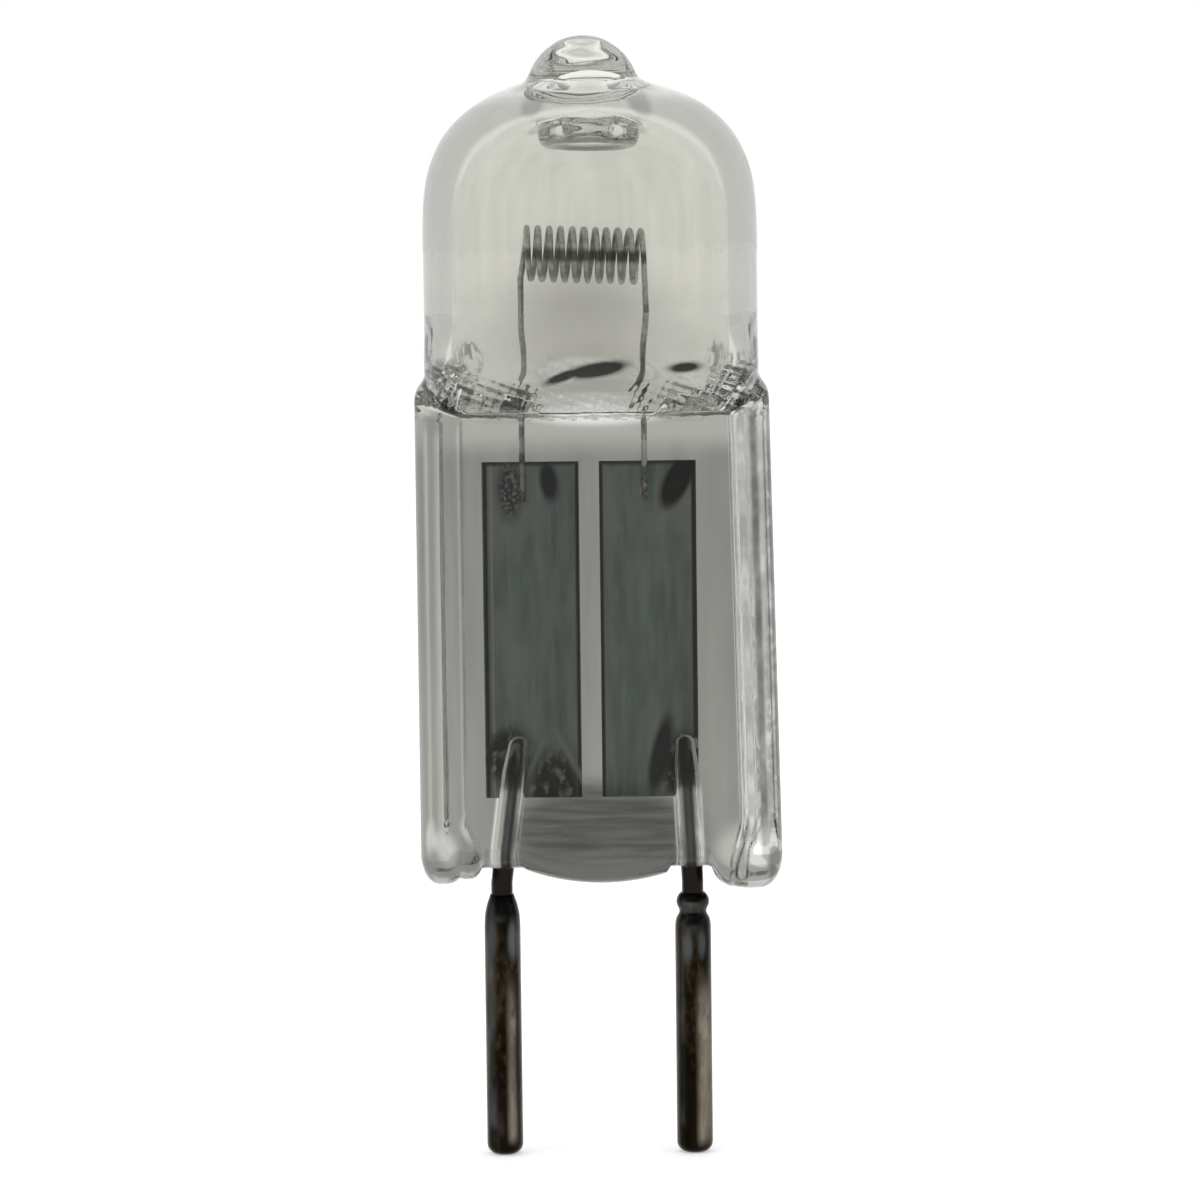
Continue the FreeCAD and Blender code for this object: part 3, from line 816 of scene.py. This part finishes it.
def coilMesh():
    bm = bmesh.new()
    length = coil["pitch"] * coil["turns"] * mm
    start = Matrix.Translation((-length / 2, 0, coil["radius"] * mm))
    place = start @ Matrix.Rotation(math.pi / 2, 4, "X")
    bmesh.ops.create_circle(bm, cap_ends=False, segments=12, radius=coil["wire"] * mm, matrix=place)
    steps = int(coil["turns"] * 40)
    bmesh.ops.spin(bm, geom=bm.verts[:] + bm.edges[:], cent=(0, 0, 0), axis=(1, 0, 0),
                   dvec=(length / steps, 0, 0), angle=2 * math.pi * coil["turns"], steps=steps)
    ends = [edge for edge in bm.edges if edge.is_boundary]
    bmesh.ops.holes_fill(bm, edges=ends, sides=0)
    bmesh.ops.recalc_face_normals(bm, faces=bm.faces)
    return bm


# Spin and ball leave their points and faces in an order that changes from run to run
def putInOrder(bm):
    def spotOf(vert):
        return tuple(vert.co)

    def cornersOf(part):
        return sorted(vert.index for vert in part.verts)

    for elements, key in ((bm.verts, spotOf), (bm.edges, cornersOf), (bm.faces, cornersOf)):
        for place, element in enumerate(sorted(elements, key=key)):
            element.index = place
        elements.sort()


filamentMesh = coilMesh()
# the helix starts at the back on the left and ends at the front on the right
for angle, axis in ((-90, "X"), (coil["slope"], "Y")):
    turn = Matrix.Rotation(math.radians(angle), 3, axis)
    bmesh.ops.rotate(filamentMesh, verts=filamentMesh.verts, matrix=turn)
bmesh.ops.translate(filamentMesh, verts=filamentMesh.verts, vec=Vector(coil["centre"]) * mm)
tubeAlong(filamentMesh, coil["leftLeg"], coil["wire"])
tubeAlong(filamentMesh, coil["rightLeg"], coil["wire"])
putInOrder(filamentMesh)
filament = newObject("filamentCoil", filamentMesh, [tungstenMaterial()])
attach(filament, "root")
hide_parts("filament")
print("filament", len(filament.data.polygons), "faces")


# Foils, kept as the CAD model has them

def dress(name, material):
    obj = nodes[name]
    obj.data.materials.clear()
    obj.data.materials.append(material)
    for polygon in obj.data.polygons:
        polygon.material_index = 0


foilSheet = foilMaterial()
for name in ("foil_left", "foil_right"):
    dress(name, foilSheet)


# Leads and contact pins

# Body turned about a pin's axis from (radius, height) points that start and end on the axis
def turnedSheet(side, profile, columns=48):
    count = 120
    points = evenly(profile, count)

    def place(column, row):
        radius, z = points[min(count, round(row * count))]
        turn = 2 * math.pi * column
        return Vector((side * leads["x"] + radius * math.cos(turn), radius * math.sin(turn), z))
    return mappedSheet(columns, count, place)


def pinProfile(beaded):
    flat, bend = pins["radius"] - pins["tipRound"], pins["tipRound"]
    points = [(0.0, 0.0)]
    turns = [math.pi / 2 * i / 10 for i in range(11)]
    points += [(flat + bend * math.sin(turn), bend - bend * math.cos(turn)) for turn in turns]
    shoulder = pins["beaded"] if beaded else pins["flared"]
    return points + relaxed(evenly([points[-1]] + shoulder, 110), 2) + [(0.0, shoulder[-1][1])]


def addPart(name, bm, material, replaced):
    obj = newObject(name, bm, [material])
    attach(obj, "root")
    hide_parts(replaced)
    print(name, len(obj.data.polygons), "faces")


pinMetal = pinMaterial()
for side, name, replaced in ((-1, "leadLeft", "lead_wire_left"), (1, "leadRight", "lead_wire_right")):
    rod = roundRod(side, leads["bottom"], leads["topZ"], 0.0)
    addPart(name, mappedSheet(32, 120, rod), leadMaterial(side), replaced)
addPart("pinLeft", turnedSheet(-1, pinProfile(False)), pinMetal, "contact_pin_left")
addPart("pinRight", turnedSheet(1, pinProfile(True)), pinMetal, "contact_pin_right")


# Floor, world, lamps and camera

def floorMaterial():
    material, tree, shader = newMaterial("floor")
    shader.inputs["Base Color"].default_value = (0.86, 0.86, 0.86, 1)
    shader.inputs["Roughness"].default_value = 0.9
    path = tree.nodes.new("ShaderNodeLightPath")
    seen = most(tree, path.outputs["Is Camera Ray"], path.outputs["Is Glossy Ray"])
    seen = most(tree, seen, path.outputs["Is Transmission Ray"])
    shader.inputs["Emission Color"].default_value = (1, 1, 1, 1)
    tree.links.new(times(tree, seen, 0.36), shader.inputs["Emission Strength"])
    return material


bm = bmesh.new()
bmesh.ops.create_grid(bm, x_segments=1, y_segments=1, size=3.0)
floor = newObject("floor", bm, [floorMaterial()])


def paintWorld():
    world = bpy.data.worlds.new("studio")
    bpy.context.scene.world = world
    world.use_nodes = True
    tree = world.node_tree
    background = tree.nodes["Background"]
    path = tree.nodes.new("ShaderNodeLightPath")
    coordinates = tree.nodes.new("ShaderNodeTexCoord")
    parts = tree.nodes.new("ShaderNodeSeparateXYZ")
    tree.links.new(coordinates.outputs["Generated"], parts.inputs["Vector"])
    towardsCamera = times(tree, parts.outputs["Y"], -1.0)
    dark = span(tree, towardsCamera, 0.2, 0.75)
    glossy = mix(tree, dark, (0.95, 0.95, 0.95), (0.04, 0.04, 0.04))
    light = mix(tree, path.outputs["Is Glossy Ray"], (0.8, 0.8, 0.8), glossy)
    seen = most(tree, path.outputs["Is Camera Ray"], path.outputs["Is Transmission Ray"])
    tree.links.new(mix(tree, seen, light, (1.0, 1.0, 1.0)), background.inputs["Color"])


paintWorld()


def areaLamp(name, place, target, size, power):
    data = bpy.data.lights.new(name, "AREA")
    data.shape = "RECTANGLE"
    data.size, data.size_y = size
    data.energy = power
    lamp = bpy.data.objects.new(name, data)
    lamp.location = place
    lamp.rotation_euler = (Vector(target) - Vector(place)).to_track_quat("-Z", "Y").to_euler()
    lamp.visible_glossy = False
    lamp.visible_transmission = False
    bpy.context.scene.collection.objects.link(lamp)


areaLamp("softLeft", (-0.25, -0.12, 0.16), (0, 0, 0.02), (0.12, 0.2), 0.14)
areaLamp("softRight", (0.25, -0.1, 0.14), (0, 0, 0.02), (0.08, 0.2), 0.09)
areaLamp("softTop", (0.0, 0.02, 0.32), (0, 0, 0.02), (0.2, 0.2), 0.15)


def addCamera():
    lens = {
        "focal": 135.0, "sensor": 36.0, "width": 39.74, "elevation": 5.0, "roll": -0.66,
        "aim": (0.2, 0.0, 18.54),
    }
    data = bpy.data.cameras.new("camera")
    data.lens = lens["focal"]
    data.sensor_width = lens["sensor"]
    data.clip_start = 0.005
    camera = bpy.data.objects.new("camera", data)
    distance = lens["width"] * mm * lens["focal"] / lens["sensor"]
    up = math.radians(lens["elevation"])
    aim = Vector(lens["aim"]) * mm
    camera.location = aim + Vector((0, -math.cos(up), math.sin(up))) * distance
    turn = (aim - camera.location).to_track_quat("-Z", "Y").to_matrix()
    camera.rotation_euler = (turn @ Matrix.Rotation(math.radians(lens["roll"]), 3, "Z")).to_euler()
    bpy.context.scene.collection.objects.link(camera)
    bpy.context.scene.camera = camera


addCamera()
scene = bpy.context.scene
scene.view_settings.view_transform = "Standard"
scene.cycles.max_bounces = 18
scene.cycles.transmission_bounces = 18
scene.cycles.glossy_bounces = 12
scene.cycles.diffuse_bounces = 2
